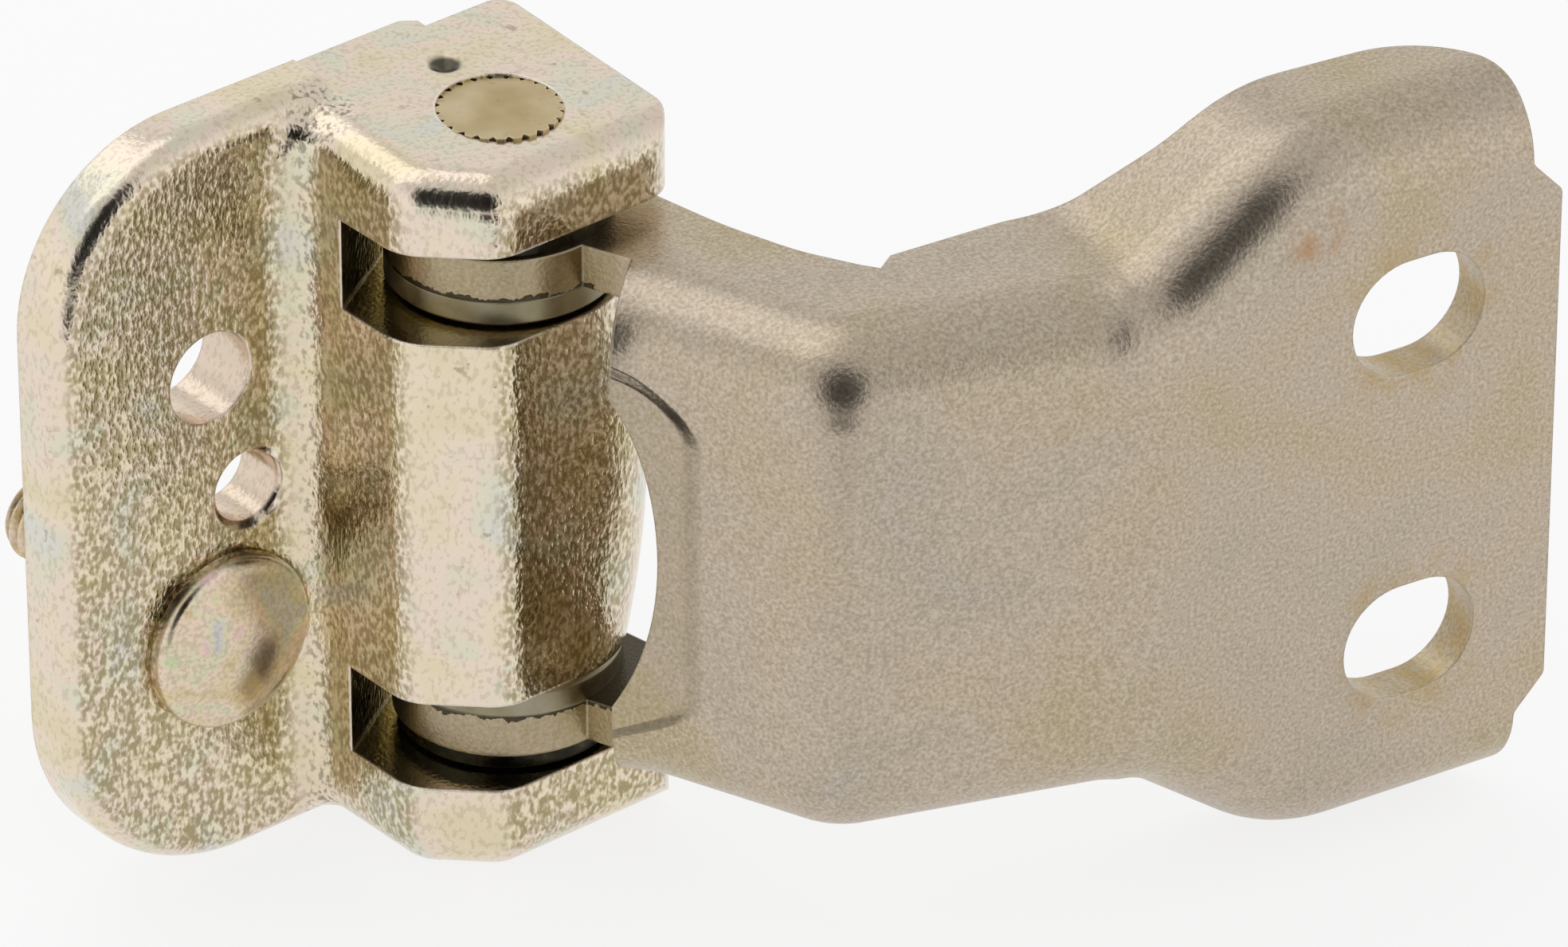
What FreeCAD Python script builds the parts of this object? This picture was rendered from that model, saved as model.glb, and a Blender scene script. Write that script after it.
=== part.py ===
import FreeCAD, Part
import math
import os
from FreeCAD import Vector

# Car door hinge: a drawn sheet-steel pillar leaf, a forged door leaf, and the splined pin between them.
# Frame: the origin is the centre of the two slots on the pillar leaf's mounting face.
# X runs along that face away from the pin, Y points from the face into the channel, Z is up along the pin.

# Pin axis and the door leaf's angle in this pose
pin_x = -64.0
pin_y = 43.5
rest_angle = 9.0

# Pin and its bearings
pin_r = 5.0
spline_r = 5.4
spline_count = 24
spline_depth = 0.45
pin_end_chamfer = 0.6
running_clearance = 0.04
bush_wall = 1.2
bush_flange_r = 10.0
bush_flange_thick = 2.4
bush_lip = 0.4
washer_r = 9.6
washer_thick = 1.4
bush_seat_clearance = 0.05
end_float = 0.3

# Pillar leaf: sheet, web and mounting plate
sheet = 4.0
flange_bend_r = 7.5
ear_height = 48.8
plate_height = 69.4
ear_reach = 18.0
web_start_x = -0.5
web_blend_r = 8.0
web_bend_x = 9.9
web_bend_rise = 6.3
web_bend_r = 9.0
plate_bend_x = 38.0
plate_bend_r = 20.0
step_start_x = 38.6
step_end_x = 52.6
step_low_r = 9.0
step_high_r = 16.0

# Pillar leaf: ears, flange edges and plate end, measured from the pin axis
ear_r = 10.0
eye_notch_x = 4.5
eye_notch_y = -14.0
eye_notch_angle = -77.0
ear_waist_x = 14.0
ear_waist_y = -12.8
ear_waist_r = 40.0
ear_foot_x = 17.2
ear_foot_y = -19.9
ear_foot_r = 20.0
flange_start_x = 20.4
flange_back_y = -24.5
tear_length = 3.0
tear_depth = 1.4
tear_peak = 1.2
flange_high_x = 36.5
flange_low_x = 48.0
flange_low_y = -29.8
flange_curve_r = 14.0
flange_end_y = -31.2
flange_end_r = 10.4
flange_right = 11.2
plate_right = 14.2
plate_corner_r = 0.9
relief_height = 3.2

# Pillar leaf: bolt slots and the cut-out in the web
slot_spacing = 32.0
slot_length = 13.4
slot_width = 11.0
web_cut_r = 30.0
web_cut_depth = 16.8

# Door leaf: forged block and its three knuckles
block_top = 33.5
block_bottom = 35.6
block_right = 11.6
block_left = 14.2
block_front = 10.2
block_back = 13.9
nose_cut = 6.2
nose_r = 4.5
block_top_draft = 3.5
block_top_r = 3.4
block_bottom_r = 5.0
block_front_corner_r = 4.0
block_back_corner_r = 2.0
middle_right = 12.7
middle_crown_r = 75.0
middle_crown_z = 1.0
middle_corner_r = 10.0
slot_wall_reach = 10.7
slot_wall_angle = -58.0
outer_gap = 0.4
punch_mark_x = 0.6
punch_mark_y = 8.1
punch_mark_r = 1.5
punch_mark_depth = 0.8

# Door leaf: mounting plate
door_plate_top = 35.4
door_plate_bottom = 36.2
door_plate_end = 39.8
door_plate_right = 3.4
door_plate_thick = 6.5
door_plate_back = 16.0
door_upper_corner_r = 16.0
door_lower_corner_r = 18.6
door_inner_corner_r = 2.0
door_edge_r = 2.4
door_back_chamfer = 1.1
crease_r = 4.0

# Door leaf: bolt hole, locating hole and stud
bolt_hole_r = 4.25
bolt_hole_x = -23.9
bolt_hole_z = 12.0
locating_hole_r = 3.3
locating_hole_x = -20.0
locating_hole_z = -0.3
locating_chamfer = 0.6
locating_back_chamfer = 1.0
stud_x = -23.2
stud_z = -13.7
stud_head_r = 8.1
stud_head_height = 1.9
stud_rim_chamfer = 0.3
stud_dome_height = 1.1
stud_dome_r = 7.3
stud_shank_r = 4.2
stud_thread_r = 4.0
stud_length = 20.5
stud_chamfer = 1.1

# Worked out from the sizes above
bush_bore_r = pin_r + running_clearance
barrel_r = bush_bore_r + bush_wall
ear_top = ear_height / 2
web_bend_y = pin_y - web_bend_rise
ear_inner = ear_top - sheet
flange_inner = ear_inner - bush_flange_thick
middle_half = flange_inner - end_float
washer_top = ear_top + washer_thick
outer_knuckle_z = washer_top + outer_gap
slot_middle = (middle_half + outer_knuckle_z) / 2
door_plate_front = door_plate_back - door_plate_thick
far = 150.0

# Distance within which a point counts as on a face, and the margin for picking edges
touching = 0.01
margin = 1.0


def rounded(corners):
    """Start, middle and end of each corner's arc; a corner is (x, y, radius)."""
    turns = []
    count = len(corners)
    for i in range(count):
        before = corners[i - 1]
        corner = corners[i]
        after = corners[(i + 1) % count]
        here = Vector(corner[0], corner[1], 0)
        if corner[2] <= 0:
            turns.append((here, None, here))
            continue
        back = Vector(before[0], before[1], 0) - here
        ahead = Vector(after[0], after[1], 0) - here
        back.normalize()
        ahead.normalize()
        half = back.getAngle(ahead) / 2
        towards = back + ahead
        towards.normalize()
        centre = here + towards * (corner[2] / math.sin(half))
        reach = corner[2] / math.tan(half)
        turns.append((here + back * reach, centre - towards * corner[2], here + ahead * reach))
    return turns


def outline(corners, place):
    """Closed wire of straight runs and corner arcs, put in space by place(point)."""
    turns = rounded(corners)
    edges = []
    for i, (start, middle, end) in enumerate(turns):
        if middle is not None:
            edges.append(Part.Arc(place(start), place(middle), place(end)).toShape())
        following = turns[(i + 1) % len(turns)][0]
        if (following - end).Length > touching:
            edges.append(Part.makeLine(place(end), place(following)))
    return Part.Wire(edges)


def plan_prism(corners, low, high):
    wire = outline(corners, lambda p: Vector(p.x, p.y, low))
    return Part.Face(wire).extrude(Vector(0, 0, high - low))


def side_prism(corners, near, depth):
    wire = outline(corners, lambda p: Vector(p.x, near, p.y))
    return Part.Face(wire).extrude(Vector(0, depth, 0))


def cylinder(radius, low, high, x=0.0, y=0.0):
    return Part.makeCylinder(radius, high - low, Vector(x, y, low))


def to_pin(shape):
    moved = shape.copy()
    moved.translate(Vector(pin_x, pin_y, 0))
    return moved


def to_door(shape):
    """From the door leaf's own axes about the pin to the part's frame."""
    moved = shape.copy()
    moved.rotate(Vector(0, 0, 0), Vector(0, 0, 1), rest_angle)
    return to_pin(moved)


def mirrored(shape):
    return shape.mirror(Vector(0, 0, 0), Vector(0, 0, 1))


def offset_path(path, distance):
    """Open path of (x, y) points moved to its left by distance."""
    runs = []
    for start, end in zip(path, path[1:]):
        along = Vector(end[0] - start[0], end[1] - start[1], 0)
        along.normalize()
        sideways = Vector(-along.y, along.x, 0)
        runs.append((Vector(start[0], start[1], 0) + sideways * distance, along, sideways))
    points = [runs[0][0]]
    for (base, along, _), (next_base, next_along, _) in zip(runs, runs[1:]):
        cross = along.x * next_along.y - along.y * next_along.x
        gap = next_base - base
        points.append(base + along * ((gap.x * next_along.y - gap.y * next_along.x) / cross))
    points.append(Vector(path[-1][0], path[-1][1], 0) + runs[-1][2] * distance)
    return [(p.x, p.y) for p in points]


def channel_form(inset):
    """The drawn channel's punch form, smaller by inset on its front, top and bottom."""
    path = [
        (pin_x - far / 2, pin_y - ear_reach),
        (pin_x + web_start_x, pin_y - ear_reach),
        (pin_x + web_bend_x, pin_y - web_bend_y),
        (pin_x + plate_bend_x, 0.0),
        (far, 0.0),
    ]
    bends = [0.0, web_blend_r + inset, web_bend_r - inset, plate_bend_r - inset, 0.0]
    front = [(x, y, r) for (x, y), r in zip(offset_path(path, inset), bends)]
    deep = far / 2 + inset
    plan = front + [(far, deep, 0.0), (pin_x - far / 2, deep, 0.0)]
    low = ear_top - inset
    high = plate_height / 2 - inset
    step_start = (pin_x + step_start_x, low, step_low_r + inset)
    step_end = (pin_x + step_end_x, high, step_high_r - inset)
    upper = [(-far, low, 0.0), step_start, step_end, (far, high, 0.0)]
    lower = [(x, -z, r) for x, z, r in reversed(upper)]
    body = plan_prism(plan, -far / 2, far / 2)
    body = body.common(side_prism(upper + lower, -far, 3 * far))
    bend_edges = []
    for edge in body.Edges:
        box = edge.BoundBox
        in_front = box.YMax < deep - margin and box.XLength > touching
        if in_front and abs(edge.CenterOfMass.z) > ear_inner / 2:
            bend_edges.append(edge)
    return body.makeFillet(flange_bend_r - inset, bend_edges)


def leaf_trim():
    """Plan outline that the drawn channel is trimmed to, ears included, seen from above."""
    eye = math.radians(eye_notch_angle)
    right = flange_right - pin_x
    plate_edge = plate_right - pin_x
    bend_start_y = flange_bend_r - pin_y
    corners = [
        (0.0, 0.0, 0.0),
        (ear_r, 0.0, 0.0),
        (ear_waist_x, ear_waist_y, ear_waist_r),
        (ear_foot_x, ear_foot_y, ear_foot_r),
        (flange_start_x, flange_back_y, 0.0),
        (flange_start_x + tear_peak, flange_back_y - tear_depth, 0.0),
        (flange_start_x + tear_length, flange_back_y, 0.0),
        (flange_high_x, flange_back_y, flange_curve_r),
        (flange_low_x, flange_low_y, flange_curve_r),
        (right, flange_end_y, flange_end_r),
        (right, bend_start_y, 0.0),
        (plate_edge, bend_start_y, 0.0),
        (plate_edge, -far, 0.0),
        (-far / 2, -far, 0.0),
        (eye_notch_x - far / 2, eye_notch_y - far / 2, 0.0),
        (eye_notch_x, eye_notch_y, 0.0),
        (ear_r * math.cos(eye), ear_r * math.sin(eye), 0.0),
    ]
    body = plan_prism(corners[::-1], -far, far)
    return to_pin(body.fuse(cylinder(ear_r, -far, far)).removeSplitter())


def plate_end():
    """Front-view outline of the plate's right end, with the relief beside each bend."""
    straight = plate_height / 2 - flange_bend_r - relief_height
    narrow = straight + relief_height
    upper = [
        (plate_right, straight, plate_corner_r),
        (flange_right, narrow, plate_corner_r),
        (flange_right, far, 0.0),
    ]
    lower = [(x, -z, r) for x, z, r in reversed(upper)]
    return side_prism([(-far, -far, 0.0)] + lower + upper + [(-far, far, 0.0)], -far, 3 * far)


def oval(length, width, height, near, depth):
    """Horizontal slot through the mounting plate at this height."""
    half = (length - width) / 2
    body = Part.makeBox(2 * half, depth, width, Vector(-half, near, height - width / 2))
    for x in (-half, half):
        end = Part.makeCylinder(width / 2, depth, Vector(x, near, height), Vector(0, 1, 0))
        body = body.fuse(end)
    return body.removeSplitter()


def web_cut():
    """Round cut-out across the slanted web between the ears, where the middle knuckle turns."""
    along = Vector(web_start_x - web_bend_x, web_bend_y - ear_reach, 0)
    along.normalize()
    outward = Vector(-along.y, along.x, 0)
    centre = Vector(web_bend_x, -web_bend_y, 0) + along * (web_cut_depth + web_cut_r)
    body = Part.makeCylinder(web_cut_r, far / 2, centre - outward * far / 4, outward)
    band = Part.makeBox(2 * far, 2 * far, 2 * ear_inner, Vector(-far, -far, -ear_inner))
    return to_pin(body.common(band))


def pillar_leaf():
    leaf = channel_form(0.0).cut(channel_form(sheet))
    leaf = leaf.common(leaf_trim())
    leaf = leaf.common(plate_end())
    leaf = leaf.cut(web_cut())
    for height in (-slot_spacing / 2, slot_spacing / 2):
        leaf = leaf.cut(oval(slot_length, slot_width, height, -sheet, 3 * sheet))
    leaf = leaf.cut(to_pin(cylinder(barrel_r, -far, far)))
    return leaf.removeSplitter()


def bush():
    barrel = cylinder(barrel_r, flange_inner, washer_top)
    flange = cylinder(bush_flange_r, flange_inner, ear_inner)
    lip = [e for e in flange.Edges if e.CenterOfMass.z < flange_inner + touching]
    flange = flange.makeChamfer(bush_lip, lip)
    return barrel.fuse(flange).cut(cylinder(bush_bore_r, -far, far)).removeSplitter()


def thrust_washer():
    hole = cylinder(barrel_r + bush_seat_clearance, -far, far)
    return cylinder(washer_r, ear_top, washer_top).cut(hole)


def hinge_pin():
    shank = cylinder(pin_r, -block_top, block_top)
    splined = cylinder(spline_r, outer_knuckle_z, block_top)
    pin = shank.fuse(splined)
    groove_wide = math.pi * spline_r / spline_count
    for tooth in range(spline_count):
        corners = [
            (spline_r - spline_depth, 0.0, 0.0),
            (spline_r + spline_depth, -groove_wide, 0.0),
            (spline_r + spline_depth, groove_wide, 0.0),
        ]
        groove = plan_prism(corners, outer_knuckle_z - margin, block_top + margin)
        groove.rotate(Vector(0, 0, 0), Vector(0, 0, 1), tooth * 360 / spline_count)
        pin = pin.cut(groove)
    foot = [e for e in pin.Edges if e.CenterOfMass.z < -block_top + touching and e.Length > pin_r]
    return pin.makeChamfer(pin_end_chamfer, foot).removeSplitter()


def block_plan(right):
    """Corners of the block's plan, from its back left round the nose to its back right."""
    return [
        (-block_left, block_back, 0.0),
        (-block_left, -block_front + nose_cut, nose_r),
        (-block_left + nose_cut, -block_front, nose_r),
        (right, -block_front, 0.0),
        (right, block_back, 0.0),
    ]


def above_top():
    """Everything over the block's top face, which rises a little towards the back."""
    body = Part.makeBox(2 * far, 2 * far, far, Vector(-far, -far, 0))
    body.rotate(Vector(0, 0, 0), Vector(1, 0, 0), block_top_draft)
    return body.translated(Vector(0, 0, block_top))


def rounded_rim(body, radius, above, below):
    """Rim fillet round the front and left of the block's end that lies between two heights."""
    rim = []
    for edge in body.Edges:
        middle = edge.CenterOfMass
        level = edge.BoundBox.ZLength < above - below
        if below < middle.z < above and level and middle.y < block_back - margin and middle.x < far - margin:
            rim.append(edge)
    return body.makeFillet(radius, rim)


def outer_block():
    """Block with rounded top and bottom rims, trimmed to its right side and back."""
    body = plan_prism(block_plan(far), -block_bottom, 2 * block_top).cut(above_top())
    body = rounded_rim(body, block_top_r, block_top + 2 * margin, block_top - 2 * margin)
    body = rounded_rim(body, block_bottom_r, margin - block_bottom, -block_bottom - margin)
    side = [
        (-far, -far, 0.0),
        (block_right, -far, 0.0),
        (block_right, block_back, block_back_corner_r),
        (-far, block_back, 0.0),
    ]
    body = body.common(plan_prism(side, -far, far))
    reach = block_front_corner_r
    square = Part.makeBox(reach, reach, 2 * far, Vector(block_right - reach, -block_front, -far))
    return body.cut(square.cut(cylinder(reach, -far, far, block_right - reach, reach - block_front)))


def middle_knuckle():
    """Crowned knuckle between the ears, with a wide round on the corner that turns past the web."""
    body = plan_prism(block_plan(middle_right), -slot_middle, slot_middle)
    axis_x = middle_right - middle_crown_r
    crown = Part.makeCylinder(middle_crown_r, 2 * far, Vector(axis_x, -far, middle_crown_z), Vector(0, 1, 0))
    body = body.common(crown)
    corner = []
    for edge in body.Edges:
        middle = edge.CenterOfMass
        if edge.BoundBox.ZLength > slot_middle / 2 and middle.x > 0 and middle.y < 0:
            corner.append(edge)
    return body.makeFillet(middle_corner_r, corner)


def knuckle_block():
    gap = Part.makeBox(2 * far, 2 * far, 2 * slot_middle, Vector(-far, -far, -slot_middle))
    return outer_block().cut(gap).fuse(middle_knuckle()).removeSplitter()


def door_plate():
    right = door_plate_right
    corners = [
        (-door_plate_end, -door_plate_bottom, door_lower_corner_r),
        (right, -door_plate_bottom, door_inner_corner_r),
        (right, door_plate_top, door_inner_corner_r),
        (-door_plate_end, door_plate_top, door_upper_corner_r),
    ]
    body = side_prism(corners, door_plate_front, door_plate_thick)
    near = []
    for edge in body.Edges:
        middle = edge.CenterOfMass
        if abs(middle.y - door_plate_front) < touching and middle.x < right - margin:
            near.append(edge)
    body = body.makeFillet(door_edge_r, near)
    back = [e for e in body.Edges if abs(e.CenterOfMass.y - door_plate_back) < touching]
    body = body.makeChamfer(door_back_chamfer, back)
    over = above_top().common(Part.makeBox(far, far, 2 * far, Vector(-block_left + crease_r, 0, 0)))
    return body.cut(over)


def milled_slot(low, high):
    """Space between two knuckles, open to the front and right of its flat end wall."""
    body = Part.makeBox(far, far, high - low, Vector(-slot_wall_reach, -far / 2, low))
    body.rotate(Vector(0, 0, 0), Vector(0, 0, 1), slot_wall_angle)
    return body


def door_leaf():
    leaf = knuckle_block().fuse(door_plate()).removeSplitter()
    crease = []
    for edge in leaf.Edges:
        middle = edge.CenterOfMass
        in_corner = abs(middle.x + block_left) < touching and abs(middle.y - door_plate_front) < touching
        if in_corner and edge.BoundBox.ZLength > middle_half:
            crease.append(edge)
    leaf = leaf.makeFillet(crease_r, crease)
    for low in (middle_half, -outer_knuckle_z):
        leaf = leaf.cut(milled_slot(low, low + outer_knuckle_z - middle_half))
    leaf = leaf.cut(cylinder(pin_r, -far, outer_knuckle_z))
    leaf = leaf.cut(cylinder(spline_r, outer_knuckle_z - touching, far))
    for radius, x, z in (
        (bolt_hole_r, bolt_hole_x, bolt_hole_z),
        (locating_hole_r, locating_hole_x, locating_hole_z),
        (stud_shank_r, stud_x, stud_z),
    ):
        leaf = leaf.cut(Part.makeCylinder(radius, far / 5, Vector(x, 0, z), Vector(0, 1, 0)))
    for face, depth, outward in (
        (door_plate_front, locating_chamfer, -1),
        (door_plate_back, locating_back_chamfer, 1),
    ):
        start = Vector(locating_hole_x, face, locating_hole_z)
        mouth = locating_hole_r + depth
        cone = Part.makeCone(mouth, locating_hole_r, depth, start, Vector(0, -outward, 0))
        leaf = leaf.cut(cone)
    mark_top = block_top + punch_mark_y * math.tan(math.radians(block_top_draft))
    mark_foot = Vector(punch_mark_x, punch_mark_y, mark_top - punch_mark_depth)
    mark = Part.makeCone(0, 2 * punch_mark_r, 2 * punch_mark_depth, mark_foot)
    return to_door(leaf.cut(mark).removeSplitter())


def door_stud():
    dome_rise = (stud_dome_r ** 2 + stud_dome_height ** 2) / (2 * stud_dome_height)
    tip = door_plate_back + stud_length
    head_y = door_plate_front - stud_head_height
    points = [
        Vector(0, head_y - stud_dome_height, 0),
        Vector(stud_dome_r, head_y, 0),
        Vector(stud_head_r - stud_rim_chamfer, head_y, 0),
        Vector(stud_head_r, head_y + stud_rim_chamfer, 0),
        Vector(stud_head_r, door_plate_front, 0),
        Vector(stud_shank_r, door_plate_front, 0),
        Vector(stud_shank_r, door_plate_back, 0),
        Vector(stud_thread_r, door_plate_back, 0),
        Vector(stud_thread_r, tip - stud_chamfer, 0),
        Vector(stud_thread_r - stud_chamfer, tip, 0),
        Vector(0, tip, 0),
    ]
    half_r = stud_dome_r / 2
    half_y = head_y - stud_dome_height + dome_rise - math.sqrt(dome_rise ** 2 - half_r ** 2)
    edges = [Part.Arc(points[0], Vector(half_r, half_y, 0), points[1]).toShape()]
    for start, end in zip(points[1:], points[2:]):
        edges.append(Part.makeLine(start, end))
    edges.append(Part.makeLine(points[-1], points[0]))
    stud = Part.Face(Part.Wire(edges)).revolve(Vector(0, 0, 0), Vector(0, 1, 0), 360)
    stud.translate(Vector(stud_x, 0, stud_z))
    return to_door(stud)


os.makedirs("parts", exist_ok=True)
nodes = {
    "pillar_leaf": pillar_leaf(),
    "door_leaf": door_leaf(),
    "hinge_pin": to_door(hinge_pin()),
    "upper_bush": to_pin(bush()),
    "lower_bush": to_pin(mirrored(bush())),
    "upper_thrust_washer": to_pin(thrust_washer()),
    "lower_thrust_washer": to_pin(mirrored(thrust_washer())),
    "door_stud": door_stud(),
}
for name, shape in nodes.items():
    solid = shape.Solids[0] if len(shape.Solids) == 1 else shape
    solid.exportStep("parts/" + name + ".step")
    print(name, len(shape.Solids), solid.isValid(), round(solid.Volume, 1))
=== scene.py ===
# Car door hinge in a studio: plated sheet-steel pillar leaf, plated forged door leaf, splined pin and stud.
# Lengths are in metres in the part's frame. Sizes named here in millimetres are multiplied by MM.

import math

import bmesh
import bpy
from mathutils import Matrix, Vector


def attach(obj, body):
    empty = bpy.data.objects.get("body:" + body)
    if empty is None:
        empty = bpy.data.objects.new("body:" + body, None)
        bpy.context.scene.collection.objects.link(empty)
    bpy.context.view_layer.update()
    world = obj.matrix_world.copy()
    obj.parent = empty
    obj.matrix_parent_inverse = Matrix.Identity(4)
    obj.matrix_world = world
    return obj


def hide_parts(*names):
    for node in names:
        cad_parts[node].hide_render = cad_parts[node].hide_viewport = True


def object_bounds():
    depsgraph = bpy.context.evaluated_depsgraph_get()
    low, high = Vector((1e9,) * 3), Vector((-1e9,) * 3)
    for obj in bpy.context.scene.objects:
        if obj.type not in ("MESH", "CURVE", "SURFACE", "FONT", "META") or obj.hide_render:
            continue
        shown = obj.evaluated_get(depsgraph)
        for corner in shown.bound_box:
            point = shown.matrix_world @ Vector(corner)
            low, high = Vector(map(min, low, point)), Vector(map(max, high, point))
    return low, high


MM = 0.001

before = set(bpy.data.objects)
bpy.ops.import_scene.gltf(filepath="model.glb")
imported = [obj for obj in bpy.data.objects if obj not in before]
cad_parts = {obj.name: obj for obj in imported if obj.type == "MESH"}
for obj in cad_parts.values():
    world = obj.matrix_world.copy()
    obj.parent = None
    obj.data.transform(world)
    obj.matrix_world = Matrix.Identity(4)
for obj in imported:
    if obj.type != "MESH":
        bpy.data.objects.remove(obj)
cad_low, cad_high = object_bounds()

# Pin axis, the door leaf's angle at rest, and the places of the pieces on the door leaf, as the solids
# have them
PIN_X = -64.0
PIN_Y = 43.5
PIN_TOP = 33.5
REST_ANGLE = math.radians(9)
STUD_X = -23.2
STUD_Z = -13.7
PLATE_FRONT = 9.5
PLATE_BACK = 16.0

# On the door leaf: x and z of the bolt hole and the locating hole, each with the reach from its middle to
# its rims, the inner corner of plate and block, and the punch mark on the top
DRILLED_HOLES = ((-23.9, 12.0, 5.3), (-20.0, -0.3, 4.6))
INNER_CORNER = (-12.4, 8.4, 0.0)
PUNCH_MARK = (0.6, 8.1, 33.8)

# On the pillar leaf: inner face of the ears, plan point of the bend beside the web, the web's way from
# there towards the ears, middles of the two slots, and the rusty spot at the plate's upper left
EAR_INNER = 20.4
WEB_BEND = (-54.1, 6.3)
WEB_WAY = (-0.476, 0.879)
SLOT_MIDDLES = ((0.0, 0.0, 16.0), (0.0, 0.0, -16.0))
RUSTY_SPOT = (-10.6, 0.0, 26.5)

SMOOTH = {"interpolation_type": "SMOOTHSTEP"}


# Nodes and colours


def colour(code):
    """Linear colour of an sRGB hex value."""
    parts = [int(code[i : i + 2], 16) / 255 for i in (1, 3, 5)]
    linear = [c / 12.92 if c <= 0.04045 else ((c + 0.055) / 1.055) ** 2.4 for c in parts]
    return (*linear, 1.0)


def add(tree, kind, sockets=(), output=0, stops=(), **settings):
    """Adds a node with its settings and links and gives one of its outputs.

    The stops are the places and colours of a ramp.
    """
    node = tree.nodes.new(kind)
    for name, value in settings.items():
        setattr(node, name, value)
    for name, value in dict(sockets).items():
        if isinstance(value, bpy.types.NodeSocket):
            tree.links.new(value, node.inputs[name])
        else:
            node.inputs[name].default_value = value
    for i, (place, code) in enumerate(stops):
        elements = node.color_ramp.elements
        element = elements[i] if i < len(elements) else elements.new(place)
        element.position = place
        element.color = colour(code)
    return node.outputs[output] if len(node.outputs) else None


def new_tree(name):
    """New material and its empty node tree."""
    material = bpy.data.materials.new(name)
    material.use_nodes = True
    material.node_tree.nodes.clear()
    return material, material.node_tree


def per(size):
    """Noise scale whose lumps lie this many millimetres apart."""
    return 1 / (size * MM)


def limits(low, high, at_low=0.0, at_high=1.0):
    """Map Range sockets that stretch the values between two limits."""
    return {"From Min": low, "From Max": high, "To Min": at_low, "To Max": at_high}


def patches(tree, place, size, low, high, detail):
    """Mask of soft patches this many millimetres apart: 0 below the low noise level, 1 above the high one."""
    noise = {"Vector": place, "Scale": per(size), "Detail": detail}
    spread = add(tree, "ShaderNodeTexNoise", noise)
    return add(tree, "ShaderNodeMapRange", {"Value": spread, **limits(low, high)}, **SMOOTH)


def near_point(tree, place, point, full, none):
    """1 within the first distance of a point of the part, falling to 0 at the second, in millimetres."""
    ends = {0: place, 1: [c * MM for c in point]}
    distance = add(tree, "ShaderNodeVectorMath", ends, "Value", operation="DISTANCE")
    span = limits(full * MM, none * MM, 1.0, 0.0)
    return add(tree, "ShaderNodeMapRange", {"Value": distance, **span}, **SMOOTH)


def near_upright(tree, place, point, full, none):
    """The same round an upright line through a point of the plan."""
    plan = add(tree, "ShaderNodeVectorMath", {0: place, 1: (1, 1, 0)}, operation="MULTIPLY")
    return near_point(tree, plan, (*point[:2], 0), full, none)


def facing(tree, direction, low, high):
    """1 where the surface faces a direction of the part, by the cosine of the angle between them."""
    normal = add(tree, "ShaderNodeTexCoord", (), "Normal")
    ends = {0: normal, 1: direction}
    cosine = add(tree, "ShaderNodeVectorMath", ends, "Value", operation="DOT_PRODUCT")
    return add(tree, "ShaderNodeMapRange", {"Value": cosine, **limits(low, high)}, **SMOOTH)


def hollow_shade(tree, reach, low, high):
    """Mask for painted shade: 0 on a piece's open surface, 1 in its own corners and gaps within this reach in
    millimetres.
    """
    settings = {"samples": 4, "only_local": True}
    openness = add(tree, "ShaderNodeAmbientOcclusion", {"Distance": reach * MM}, "AO", **settings)
    return add(tree, "ShaderNodeMapRange", {"Value": openness, **limits(low, high, 1.0, 0.0)}, **SMOOTH)


def sharp_edge(tree, radius, low, high):
    """0 on flat and gently curved surface, 1 on a sharp edge."""
    soft = add(tree, "ShaderNodeBevel", {"Radius": radius * MM}, samples=4)
    true = add(tree, "ShaderNodeNewGeometry", (), "Normal")
    cosine = add(tree, "ShaderNodeVectorMath", {0: soft, 1: true}, "Value", operation="DOT_PRODUCT")
    return add(tree, "ShaderNodeMapRange", {"Value": cosine, **limits(low, high, 1.0, 0.0)}, **SMOOTH)


def coat(tree, base, masks, share, code):
    """Lays a colour over the base where all the masks are, at most by this share."""
    for mask in masks:
        share = add(tree, "ShaderNodeMath", {0: mask, 1: share}, operation="MULTIPLY")
    # A Mix node takes its two colours on sockets 6 and 7 and gives the mixed one on output 2
    return add(tree, "ShaderNodeMix", {0: share, 6: base, 7: colour(code)}, 2, data_type="RGBA")


def on_door(x, y, z):
    """Point of the door leaf's own axes, at rest, in millimetres of the part's frame."""
    c = math.cos(REST_ANGLE)
    s = math.sin(REST_ANGLE)
    return (PIN_X + x * c - y * s, PIN_Y + x * s + y * c, z)


def relief(tree, edge_radius, heights):
    """Surface normal with softened edges and with heights laid on it.

    Each height is a value and its depth in millimetres.
    """
    normal = add(tree, "ShaderNodeBevel", {"Radius": edge_radius * MM}, samples=4)
    for height, depth in heights:
        sockets = {"Height": height, "Distance": depth * MM, "Strength": 1.0, "Normal": normal}
        normal = add(tree, "ShaderNodeBump", sockets)
    return normal


def metal(tree, base, roughness, normal):
    """Closes a material as bare or plated metal."""
    sockets = {"Base Color": base, "Metallic": 1.0, "Roughness": roughness, "Normal": normal}
    shader = add(tree, "ShaderNodeBsdfPrincipled", sockets)
    add(tree, "ShaderNodeOutputMaterial", {"Surface": shader})


# Materials


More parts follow.
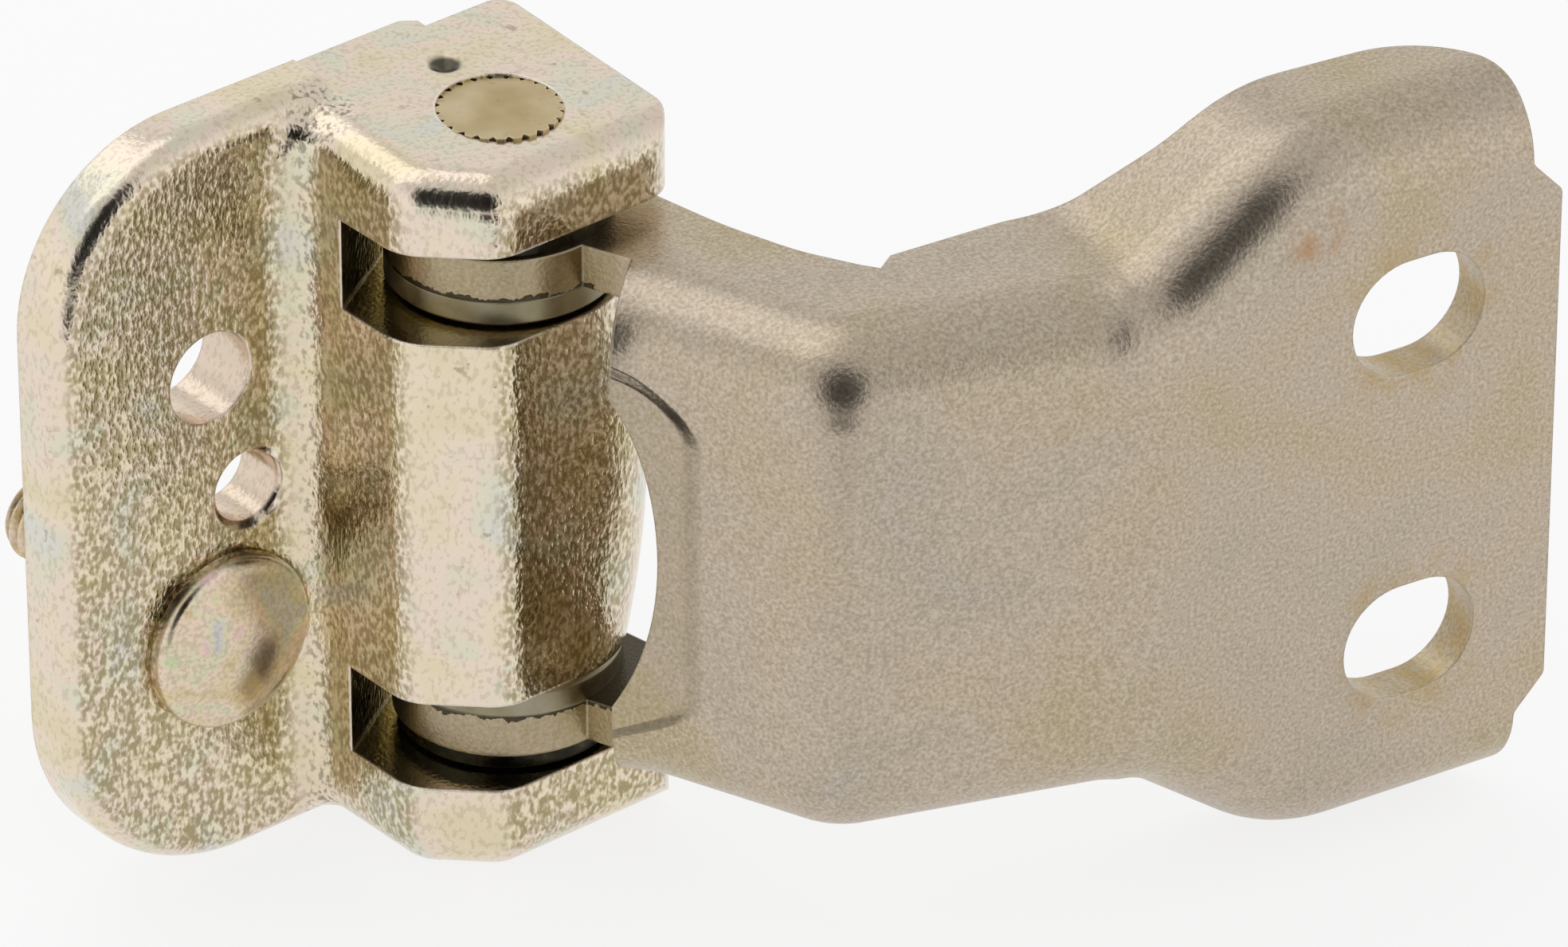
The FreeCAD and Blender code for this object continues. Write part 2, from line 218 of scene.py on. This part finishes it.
def plated_forging():
    """Hot-forged steel, shot-blasted, zinc plated and yellow passivated.

    A glossy pitted cream skin with a faint pink and green film. Painted olive-gold shade lies in its hollows
    and in the shot-mark pits of the front and of the block's left side, with painted glints on the crests
    there.
    """
    material, tree = new_tree("yellow_passivated_zinc_on_forged_steel")
    place = add(tree, "ShaderNodeTexCoord", (), "Object")
    noise = {"Vector": place, "Scale": per(8.0), "Detail": 2.5, "Distortion": 0.5}
    film = add(tree, "ShaderNodeTexNoise", noise)
    stops = [(0.34, "#e2d5b6"), (0.45, "#e8dac2"), (0.52, "#ead8c8"), (0.60, "#e0dbc4"), (0.70, "#dcd9d0")]
    base = add(tree, "ShaderNodeValToRGB", {"Fac": film}, stops=stops)

    # Where the shot marks are deepest and painted shade goes: the front of plate and block, and the block's
    # left side
    front_way = (math.sin(REST_ANGLE), -math.cos(REST_ANGLE), 0)
    left_way = (-math.cos(REST_ANGLE), -math.sin(REST_ANGLE), 0)
    front_marks_and_shade = facing(tree, front_way, low=0.78, high=0.99)
    left_marks_and_shade = facing(tree, left_way, low=0.80, high=0.98)
    block = near_upright(tree, place, (PIN_X, PIN_Y), full=14.0, none=17.0)
    left_marks_and_shade = add(tree, "ShaderNodeMath", {0: left_marks_and_shade, 1: block}, operation="MULTIPLY")
    front_marks_and_shade = add(tree, "ShaderNodeMath", {0: front_marks_and_shade, 1: left_marks_and_shade}, operation="MAXIMUM")

    # Painted shade: darker olive gold in the piece's own corners and gaps
    base = coat(tree, base, [hollow_shade(tree, reach=11.0, low=0.40, high=0.90)], share=0.70, code="#bdb06a")
    # Drilled walls are a little pink
    for x, z, reach in DRILLED_HOLES:
        middle = on_door(x, (PLATE_FRONT + PLATE_BACK) / 2, z)
        drilled = near_point(tree, place, middle, full=reach, none=reach + 0.15)
        base = coat(tree, base, [drilled], share=0.80, code="#e2cfc0")

    # Shot marks, taller than wide: about 0.3 by 0.5 mm, where the photo shows about 0.3 by 0.4 mm
    upright = add(tree, "ShaderNodeVectorMath", {0: place, 1: (1, 1, 0.62)}, operation="MULTIPLY")
    grain = add(tree, "ShaderNodeTexNoise", {"Vector": upright, "Scale": per(0.44), "Detail": 1.5})
    pits = add(tree, "ShaderNodeMapRange", {"Value": grain, **limits(0.36, 0.50, 1.0, 0.0)}, **SMOOTH)
    slopes = add(tree, "ShaderNodeMapRange", {"Value": grain, **limits(0.38, 0.66, 1.0, 0.0)}, **SMOOTH)
    crests = add(tree, "ShaderNodeMapRange", {"Value": grain, **limits(0.54, 0.64)}, **SMOOTH)
    # The inner corner of plate and block is as rough as the front, and painted shade darkens its pits
    corner = near_upright(tree, place, on_door(*INNER_CORNER), full=2.0, none=3.6)
    rough_marks_and_glints = add(tree, "ShaderNodeMath", {0: front_marks_and_shade, 1: corner}, operation="MAXIMUM")
    base = coat(tree, base, [pits], share=0.20, code="#85774a")
    base = coat(tree, base, [pits, corner], share=0.62, code="#6f6a58")
    # Painted shade: olive over the shot-mark slopes on those faces
    base = coat(tree, base, [slopes, front_marks_and_shade], share=0.66, code="#877840")
    # Painted glints: pale shot-mark crests on the front, the left side and the inner corner
    base = coat(tree, base, [crests, rough_marks_and_glints], share=0.42, code="#efe6c8")

    # Dull specks, pale rubbed sharp edges that also carry a painted highlight, and the punch mark as a
    # near-black disc of painted shade for its dent
    specks = patches(tree, place, size=1.6, low=0.66, high=0.74, detail=4.0)
    base = coat(tree, base, [specks], share=0.55, code="#8d7f63")
    edge = sharp_edge(tree, radius=0.5, low=0.82, high=0.98)
    base = coat(tree, base, [edge], share=0.85, code="#fbefe4")
    punch_dent_shade = near_point(tree, place, on_door(*PUNCH_MARK), full=1.1, none=1.7)
    base = coat(tree, base, [punch_dent_shade], share=0.9, code="#2c2a26")

    roughness = add(tree, "ShaderNodeMapRange", {"Value": film, **limits(0.3, 0.7, 0.15, 0.22)})
    swell = add(tree, "ShaderNodeTexNoise", {"Vector": place, "Scale": per(2.6), "Detail": 1.0})
    # Away from the front the marks have 0.38 of their depth
    depth = add(tree, "ShaderNodeMapRange", {"Value": rough_marks_and_glints, **limits(0.0, 0.6, 0.38, 1.0)})
    dents = add(tree, "ShaderNodeMath", {0: grain, 1: depth}, operation="MULTIPLY")
    metal(tree, base, roughness, relief(tree, edge_radius=0.4, heights=[(swell, 0.035), (dents, 0.100)]))
    return material


def plated_sheet():
    """Pressed sheet steel, tumbled, zinc plated and yellow passivated.

    A satin skin with a fine even stipple, painted olive shade in its hollows, and a coined strip along the
    round cut-out with painted shade on its crease and strip.
    """
    material, tree = new_tree("yellow_passivated_zinc_on_pressed_steel")
    place = add(tree, "ShaderNodeTexCoord", (), "Object")
    noise = {"Vector": place, "Scale": per(18.0), "Detail": 3.0, "Distortion": 0.4}
    cloud = add(tree, "ShaderNodeTexNoise", noise)
    stops = [(0.30, "#b8a98a"), (0.42, "#bdae96"), (0.54, "#bfb09e"), (0.64, "#baad9b"), (0.76, "#b6ada3")]
    base = add(tree, "ShaderNodeValToRGB", {"Fac": cloud}, stops=stops)

    # Tumbling marks about 0.25 mm across, drawn coarser than the photo's 0.17 mm so that they show
    grain = add(tree, "ShaderNodeTexNoise", {"Vector": place, "Scale": per(0.34), "Detail": 2.0})
    pits = add(tree, "ShaderNodeMapRange", {"Value": grain, **limits(0.36, 0.50, 1.0, 0.0)}, **SMOOTH)
    crests = add(tree, "ShaderNodeMapRange", {"Value": grain, **limits(0.54, 0.64)}, **SMOOTH)
    base = coat(tree, base, [pits], share=0.32, code="#81765e")
    base = coat(tree, base, [crests], share=0.32, code="#e0d6c6")
    # Painted shade: olive in the piece's own corners and gaps
    base = coat(tree, base, [hollow_shade(tree, reach=14.0, low=0.40, high=0.93)], share=0.7, code="#a0905e")

    # The ears are darker, with a ragged dark lip where each meets its bush
    ear = near_upright(tree, place, (PIN_X, PIN_Y), full=12.5, none=14.5)
    base = coat(tree, base, [ear], share=0.45, code="#94835a")
    height = add(tree, "ShaderNodeSeparateXYZ", {0: place}, "Z")
    height = add(tree, "ShaderNodeMath", {0: height}, operation="ABSOLUTE")
    noise = {"Vector": place, "Scale": per(2.4), "Detail": 3.0, "Roughness": 0.7}
    ragged = add(tree, "ShaderNodeTexNoise", noise)
    span = limits(0.38, 0.66, EAR_INNER * MM, (EAR_INNER + 0.75) * MM)
    lip = add(tree, "ShaderNodeMapRange", {"Value": ragged, **span})
    lip = add(tree, "ShaderNodeMath", {0: height, 1: lip}, operation="LESS_THAN")
    base = coat(tree, base, [lip, ear], share=0.85, code="#1e1a12")

    # Brown stains round the slots and a rusty spot
    rust = patches(tree, place, size=3.0, low=0.40, high=0.70, detail=3.0)
    for middle in SLOT_MIDDLES:
        stain = near_point(tree, place, middle, full=6.0, none=10.0)
        base = coat(tree, base, [stain, rust], share=0.5, code="#b39452")
    spot = near_point(tree, place, RUSTY_SPOT, full=1.0, none=4.0)
    base = coat(tree, base, [spot, rust], share=0.6, code="#b07f4a")

    # The coined strip stops at the ears; it is relief only, on an even sheet, with painted shade as a dark
    # line along its crease and a darker tone over the strip
    strip_and_its_shade = coined_strip(tree, place)
    clear = add(tree, "ShaderNodeMath", {0: 1.0, 1: ear}, operation="SUBTRACT")
    strip_and_its_shade = add(tree, "ShaderNodeMath", {0: strip_and_its_shade, 1: clear}, operation="MULTIPLY")
    outside = add(tree, "ShaderNodeMath", {0: 1.0, 1: strip_and_its_shade}, operation="SUBTRACT")
    base = coat(tree, base, [strip_and_its_shade, outside], share=0.8, code="#75684a")
    base = coat(tree, base, [strip_and_its_shade], share=0.25, code="#998a66")
    edge = sharp_edge(tree, radius=0.3, low=0.80, high=0.97)
    base = coat(tree, base, [edge], share=0.45, code="#ded4be")

    roughness = add(tree, "ShaderNodeMapRange", {"Value": cloud, **limits(0.3, 0.7, 0.28, 0.34)})
    metal(tree, base, roughness, relief(tree, edge_radius=0.3, heights=[(strip_and_its_shade, 1.1), (grain, 0.032)]))
    return material


def coined_strip(tree, place):
    """Mask of the thinned strip beside the cut-out, with rounded upper and lower ends."""
    strip_start = 12.0
    strip_full = 14.8
    straight_half = 12.0
    lean_rate = 0.22
    bend = [c * MM for c in (*WEB_BEND, 0)]
    from_bend = add(tree, "ShaderNodeVectorMath", {0: place, 1: bend}, operation="SUBTRACT")
    ends = {0: from_bend, 1: (*WEB_WAY, 0)}
    along = add(tree, "ShaderNodeVectorMath", ends, "Value", operation="DOT_PRODUCT")
    height = add(tree, "ShaderNodeSeparateXYZ", {0: place}, "Z")
    height = add(tree, "ShaderNodeMath", {0: height}, operation="ABSOLUTE")
    # The crease leans towards the cut-out above and below its straight middle
    past = add(tree, "ShaderNodeMath", {0: height, 1: straight_half * MM}, operation="SUBTRACT")
    past = add(tree, "ShaderNodeMath", {0: past, 1: 0.0}, operation="MAXIMUM")
    lean = add(tree, "ShaderNodeMath", {0: past, 1: past}, operation="MULTIPLY")
    lean = add(tree, "ShaderNodeMath", {0: lean, 1: lean_rate / MM}, operation="MULTIPLY")
    edge = add(tree, "ShaderNodeMath", {0: along, 1: lean}, operation="SUBTRACT")
    span = limits(strip_start * MM, strip_full * MM)
    return add(tree, "ShaderNodeMapRange", {"Value": edge, **span}, **SMOOTH)


def bearing_steel():
    """Turned and oiled steel bush: satin olive-grey with turning marks, drawn coarser than real ones."""
    material, tree = new_tree("oiled_bush_steel")
    place = add(tree, "ShaderNodeTexCoord", (), "Object")
    noise = {"Vector": place, "Scale": per(4.0), "Detail": 3.0, "Roughness": 0.6}
    tone = add(tree, "ShaderNodeTexNoise", noise)
    stops = [(0.3, "#81785c"), (0.5, "#958c72"), (0.7, "#a39b8a")]
    base = add(tree, "ShaderNodeValToRGB", {"Fac": tone}, stops=stops)
    edge = sharp_edge(tree, radius=0.2, low=0.75, high=0.97)
    base = coat(tree, base, [edge], share=0.5, code="#d5ccb6")
    flat = add(tree, "ShaderNodeVectorMath", {0: place, 1: (0.1, 0.1, 1)}, operation="MULTIPLY")
    marks = add(tree, "ShaderNodeTexNoise", {"Vector": flat, "Scale": per(0.5), "Detail": 1.5})
    roughness = add(tree, "ShaderNodeMapRange", {"Value": tone, **limits(0.3, 0.7, 0.28, 0.42)})
    metal(tree, base, roughness, relief(tree, edge_radius=0.25, heights=[(marks, 0.012)]))
    return material


def black_washer():
    """Phosphated and oiled steel washer: near black with glossy glints, its grain drawn coarser than real."""
    material, tree = new_tree("oiled_black_phosphate_steel")
    place = add(tree, "ShaderNodeTexCoord", (), "Object")
    noise = {"Vector": place, "Scale": per(2.5), "Detail": 3.0, "Roughness": 0.6}
    tone = add(tree, "ShaderNodeTexNoise", noise)
    stops = [(0.3, "#1b1a15"), (0.6, "#37342a"), (0.75, "#5d5846")]
    base = add(tree, "ShaderNodeValToRGB", {"Fac": tone}, stops=stops)
    edge = sharp_edge(tree, radius=0.2, low=0.75, high=0.97)
    base = coat(tree, base, [edge], share=0.4, code="#8d8570")
    grain = add(tree, "ShaderNodeTexNoise", {"Vector": place, "Scale": per(0.7), "Detail": 1.5})
    roughness = add(tree, "ShaderNodeMapRange", {"Value": tone, **limits(0.3, 0.7, 0.18, 0.36)})
    metal(tree, base, roughness, relief(tree, edge_radius=0.2, heights=[(grain, 0.03)]))
    return material


def pin_steel():
    """Cropped and plated pin end: matte warm beige with a bright bruised rim."""
    material, tree = new_tree("plated_pin_steel")
    place = add(tree, "ShaderNodeTexCoord", (), "Object")
    tone = add(tree, "ShaderNodeTexNoise", {"Vector": place, "Scale": per(5.0), "Detail": 2.0})
    stops = [(0.3, "#b39f74"), (0.5, "#c3b088"), (0.7, "#cfbf9e")]
    base = add(tree, "ShaderNodeValToRGB", {"Fac": tone}, stops=stops)
    dull = patches(tree, place, size=0.9, low=0.60, high=0.75, detail=3.0)
    base = coat(tree, base, [dull], share=0.35, code="#8f7d55")
    edge = sharp_edge(tree, radius=0.25, low=0.75, high=0.97)
    base = coat(tree, base, [edge], share=0.75, code="#f1e6cd")
    grain = add(tree, "ShaderNodeTexNoise", {"Vector": place, "Scale": per(0.45), "Detail": 1.5})
    roughness = add(tree, "ShaderNodeMapRange", {"Value": tone, **limits(0.3, 0.7, 0.36, 0.46)})
    metal(tree, base, roughness, relief(tree, edge_radius=0.12, heights=[(grain, 0.018)]))
    return material


def stud_steel():
    """Cold-headed stud, zinc plated and passivated: smooth satin gold with pink and green film patches."""
    material, tree = new_tree("yellow_passivated_zinc_on_headed_steel")
    place = add(tree, "ShaderNodeTexCoord", (), "Object")
    noise = {"Vector": place, "Scale": per(5.0), "Detail": 2.5, "Distortion": 0.8}
    film = add(tree, "ShaderNodeTexNoise", noise)
    stops = [(0.32, "#d0b98e"), (0.44, "#e0ceab"), (0.52, "#e8d2be"), (0.60, "#dcd7b6"), (0.70, "#d0cdca")]
    base = add(tree, "ShaderNodeValToRGB", {"Fac": film}, stops=stops)
    # Painted shade: dark brown in the piece's own corners and gaps
    base = coat(tree, base, [hollow_shade(tree, reach=6.0, low=0.35, high=0.85)], share=0.7, code="#80693a")
    grain = add(tree, "ShaderNodeTexNoise", {"Vector": place, "Scale": per(0.4), "Detail": 2.5})
    dull = add(tree, "ShaderNodeMapRange", {"Value": grain, **limits(0.40, 0.56, 1.0, 0.0)})
    base = coat(tree, base, [dull], share=0.30, code="#8f8068")
    grey = patches(tree, place, size=2.6, low=0.58, high=0.66, detail=3.0)
    base = coat(tree, base, [grey], share=0.30, code="#a79a86")
    pink = patches(tree, place, size=2.8, low=0.64, high=0.71, detail=1.0)
    base = coat(tree, base, [pink], share=0.42, code="#e3b5c3")
    # The green patches lie apart from the pink ones
    moved = add(tree, "ShaderNodeVectorMath", {0: place, 1: (0.013, 0.007, 0.004)})
    green = patches(tree, moved, size=3.0, low=0.63, high=0.70, detail=1.0)
    base = coat(tree, base, [green], share=0.45, code="#bfd9a3")
    edge = sharp_edge(tree, radius=0.25, low=0.75, high=0.97)
    base = coat(tree, base, [edge], share=0.6, code="#f4e8d8")
    swell = add(tree, "ShaderNodeTexNoise", {"Vector": place, "Scale": per(3.0), "Detail": 1.0})
    roughness = add(tree, "ShaderNodeMapRange", {"Value": film, **limits(0.3, 0.7, 0.20, 0.30)})
    metal(tree, base, roughness, relief(tree, edge_radius=0.12, heights=[(swell, 0.03), (grain, 0.014)]))
    return material


# Pieces made here in place of plainer solids


def smooth_piece(name, mesh_data, material, body):
    """Turns built geometry into a smooth-shaded piece that rides on a body."""
    mesh = bpy.data.meshes.new(name)
    mesh_data.to_mesh(mesh)
    mesh_data.free()
    mesh.materials.append(material)
    for polygon in mesh.polygons:
        polygon.use_smooth = True
    piece = bpy.data.objects.new(name, mesh)
    bpy.context.scene.collection.objects.link(piece)
    bpy.context.view_layer.objects.active = piece
    mesh.set_sharp_from_angle(angle=math.radians(35))
    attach(piece, body)
    return piece


def bridge_rings(build, rings):
    """Faces between successive rings of vertices, and one across each end."""
    count = len(rings[0])
    for lower, upper in zip(rings, rings[1:]):
        for i in range(count):
            j = (i + 1) % count
            build.faces.new((lower[i], lower[j], upper[j], upper[i]))
    build.faces.new(rings[0][::-1])
    build.faces.new(rings[-1])


def door_axes(x, z):
    """Placement of a piece whose axis runs along the door leaf's Y from this point, in metres."""
    turn = Matrix.Rotation(REST_ANGLE, 4, "Z")
    pin = Matrix.Translation(Vector((PIN_X, PIN_Y, 0)) * MM)
    return pin @ turn @ Matrix.Translation(Vector((x, 0, z)) * MM)


def stud_ring(build, y, radii):
    """Ring of vertices round the stud's axis at this place along it, in millimetres."""
    ring = []
    for k, r in enumerate(radii):
        a = 2 * math.pi * k / len(radii)
        ring.append(build.verts.new((r * MM * math.cos(a), y * MM, -r * MM * math.sin(a))))
    return ring


def head_profile():
    """Radius and place of each ring of the stud's domed head and of the shank through the plate."""
    head_r = 8.1
    head_height = 1.9
    dome_r = 6.9
    dome_height = 1.1
    dome_steps = 14
    rim_round = 1.0
    rim_steps = 8
    foot_height = 0.3
    foot_inset = 0.25
    shank_r = 4.15
    head_front = PLATE_FRONT - head_height
    ball_r = (dome_r**2 + dome_height**2) / (2 * dome_height)
    profile = []
    for i in range(1, dome_steps + 1):
        r = dome_r * i / dome_steps
        rise = ball_r - math.sqrt(ball_r**2 - r**2)
        profile.append((r, head_front - dome_height + rise))
    for i in range(rim_steps + 1):
        a = math.radians(90 * i / rim_steps)
        r = head_r - rim_round + rim_round * math.sin(a)
        profile.append((r, head_front + rim_round - rim_round * math.cos(a)))
    profile += [(head_r, PLATE_FRONT - foot_height), (head_r - foot_inset, PLATE_FRONT)]
    profile += [(shank_r, PLATE_FRONT), (shank_r, PLATE_BACK)]
    return profile


def threaded_stud(material):
    """Door stud: domed head against the plate, plain shank through it and an M8 thread to a chamfered end."""
    crest_r = 4.0
    root_r = 3.33
    pitch = 1.25
    crest_flat = 0.12
    flank_share = 0.76
    tip = PLATE_BACK + 20.5
    chamfer = 1.1
    around = 72
    step = pitch / 12
    build = bmesh.new()
    rings = [stud_ring(build, y, [r] * around) for r, y in head_profile()]
    y = PLATE_BACK
    while y < tip + 1e-6:
        start = min(1.0, (y - PLATE_BACK) / pitch)
        radii = []
        for k in range(around):
            phase = ((y - PLATE_BACK) / pitch + k / around) % 1.0
            flank = abs(phase - 0.5) * 2
            depth = min(1.0, max(0.0, (flank - crest_flat) / flank_share))
            r = crest_r - (crest_r - root_r) * depth * start
            radii.append(min(r, crest_r - max(0.0, y - (tip - chamfer))))
        rings.append(stud_ring(build, y, radii))
        y += step
    bridge_rings(build, rings)
    bmesh.ops.recalc_face_normals(build, faces=build.faces)
    build.transform(door_axes(STUD_X, STUD_Z))
    piece = smooth_piece("door_stud_threaded", build, material, "door")
    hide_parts("door_stud")


# Studio


def flat_sheet(name, corners, material):
    """One flat face of the set."""
    build = bmesh.new()
    build.faces.new([build.verts.new(Vector(c)) for c in corners])
    mesh = bpy.data.meshes.new(name)
    build.to_mesh(mesh)
    build.free()
    mesh.materials.append(material)
    sheet = bpy.data.objects.new(name, mesh)
    bpy.context.scene.collection.objects.link(sheet)
    return sheet


def studio_floor():
    """Pale table top that the hinge stands on; it reads as white and keeps a faint shadow."""
    half = 1.5
    gap_below = 0.0002
    glow_share = 0.80
    material, tree = new_tree("white_table_top")
    seen = 0.0
    for ray in ("Is Camera Ray", "Is Glossy Ray", "Is Transmission Ray"):
        seen = add(tree, "ShaderNodeMath", {0: seen, 1: add(tree, "ShaderNodeLightPath", (), ray)})
    share = add(tree, "ShaderNodeMath", {0: seen, 1: glow_share}, operation="MULTIPLY")
    paint = add(tree, "ShaderNodeBsdfDiffuse", {"Color": colour("#efefef")})
    glow = add(tree, "ShaderNodeEmission", {"Color": colour("#ffffff"), "Strength": 1.0})
    surface = add(tree, "ShaderNodeMixShader", {0: share, 1: paint, 2: glow})
    add(tree, "ShaderNodeOutputMaterial", {"Surface": surface})
    corners = [(-half, -half, 0), (half, -half, 0), (half, half, 0), (-half, half, 0)]
    flat_sheet("table", corners, material).location.z = cad_low.z - gap_below


def studio_world():
    """White room, a little darker overhead than towards its walls."""
    world = bpy.data.worlds.new("studio")
    world.use_nodes = True
    tree = world.node_tree
    tree.nodes.clear()
    direction = add(tree, "ShaderNodeTexCoord", (), "Generated")
    height = add(tree, "ShaderNodeSeparateXYZ", {0: direction}, "Z")
    walls = add(tree, "ShaderNodeMapRange", {"Value": height, **limits(0.25, 0.9, 1.0, 0.72)}, **SMOOTH)
    seen = add(tree, "ShaderNodeLightPath", (), "Is Camera Ray")
    strength = add(tree, "ShaderNodeMath", {0: walls, 1: seen}, operation="MAXIMUM")
    background = add(tree, "ShaderNodeBackground", {"Color": colour("#ffffff"), "Strength": strength})
    add(tree, "ShaderNodeOutputWorld", {"Surface": background})
    bpy.context.scene.world = world


def overhead_box():
    """Square soft box above and behind the hinge."""
    place = Vector((-0.25, 0.35, 0.75))
    target = Vector((-0.03, 0.02, 0.0))
    lamp = bpy.data.lights.new("overhead_box", "AREA")
    lamp.shape = "RECTANGLE"
    lamp.size = 0.7
    lamp.size_y = 0.7
    lamp.energy = 0.9
    light = bpy.data.objects.new("overhead_box", lamp)
    light.location = place
    light.rotation_mode = "QUATERNION"
    light.rotation_quaternion = (target - place).to_track_quat("-Z", "Y")
    bpy.context.scene.collection.objects.link(light)


def dark_card(name, corners):
    """Near-black card beside the set that only the metal's reflections show."""
    material, tree = new_tree(name + "_paint")
    paint = add(tree, "ShaderNodeEmission", {"Color": colour("#0c0b0a"), "Strength": 1.0})
    add(tree, "ShaderNodeOutputMaterial", {"Surface": paint})
    sheet = flat_sheet(name, corners, material)
    sheet.visible_camera = False
    sheet.visible_diffuse = False
    sheet.visible_shadow = False


def dark_side_cards():
    """Dark cards at the camera's side and on the table before it, for rounded corners to reflect."""
    hinge_middle = Vector((-0.045, 0.02, 0.0))
    card_away = 0.95
    half_width = 0.45
    half_height = 0.52
    card_corners = 24
    aisle_near = 0.15
    aisle_far = 0.90
    aisle_near_half = 0.035
    aisle_far_half = 0.20
    gap_above = 0.0001
    forward, right, up = view_axes()
    middle = hinge_middle - forward * card_away
    ring = []
    for i in range(card_corners):
        a = 2 * math.pi * i / card_corners
        ring.append(middle + right * math.cos(a) * half_width + up * math.sin(a) * half_height)
    dark_card("camera_card", ring)
    level_back = Vector((-forward.x, -forward.y, 0)).normalized()
    foot = Vector((hinge_middle.x, hinge_middle.y, cad_low.z + gap_above))
    near = foot + level_back * aisle_near
    far = foot + level_back * aisle_far
    corners = [near - right * aisle_near_half, near + right * aisle_near_half]
    corners += [far + right * aisle_far_half, far - right * aisle_far_half]
    dark_card("dark_aisle", corners)


def view_axes():
    """Forward, right and up of the camera, by its heading from the mounting face and its downward pitch."""
    heading = math.radians(31)
    pitch = math.radians(31)
    level_forward = Vector((math.sin(heading), math.cos(heading), 0))
    forward = level_forward * math.cos(pitch) - Vector((0, 0, math.sin(pitch)))
    right = Vector((math.cos(heading), -math.sin(heading), 0))
    return forward, right, right.cross(forward)


def photo_camera():
    """Long lens at the photo's viewing angle, with the pin's end at its place in the photo."""
    focal_pixels = 14800
    pixels_per_mm = 15
    image_width = 1968
    sensor_width = 36
    image_centre = Vector((984, 594))
    pin_pixel = Vector((627, 135))
    forward, right, up = view_axes()
    offset = (pin_pixel - image_centre) / pixels_per_mm
    pin_end = Vector((PIN_X, PIN_Y, PIN_TOP))
    place = pin_end - right * offset.x + up * offset.y - forward * (focal_pixels / pixels_per_mm)
    camera_data = bpy.data.cameras.new("camera")
    camera_data.sensor_width = sensor_width
    camera_data.lens = sensor_width * focal_pixels / image_width
    camera_data.clip_start = 0.05
    camera_data.clip_end = 20
    camera = bpy.data.objects.new("camera", camera_data)
    axes = Matrix((right, up, -forward)).transposed()
    camera.matrix_world = Matrix.Translation(place * MM) @ axes.to_4x4()
    bpy.context.scene.collection.objects.link(camera)
    bpy.context.scene.camera = camera


photo_camera()
studio_floor()
studio_world()
overhead_box()
dark_side_cards()

finishes = {
    "door_leaf": plated_forging(),
    "pillar_leaf": plated_sheet(),
    "upper_bush": bearing_steel(),
    "upper_thrust_washer": black_washer(),
    "hinge_pin": pin_steel(),
}
finishes["lower_bush"] = finishes["upper_bush"]
finishes["lower_thrust_washer"] = finishes["upper_thrust_washer"]
for name, material in finishes.items():
    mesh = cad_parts[name].data
    mesh.materials.clear()
    mesh.materials.append(material)

threaded_stud(stud_steel())

bpy.context.scene.view_settings.view_transform = "Standard"
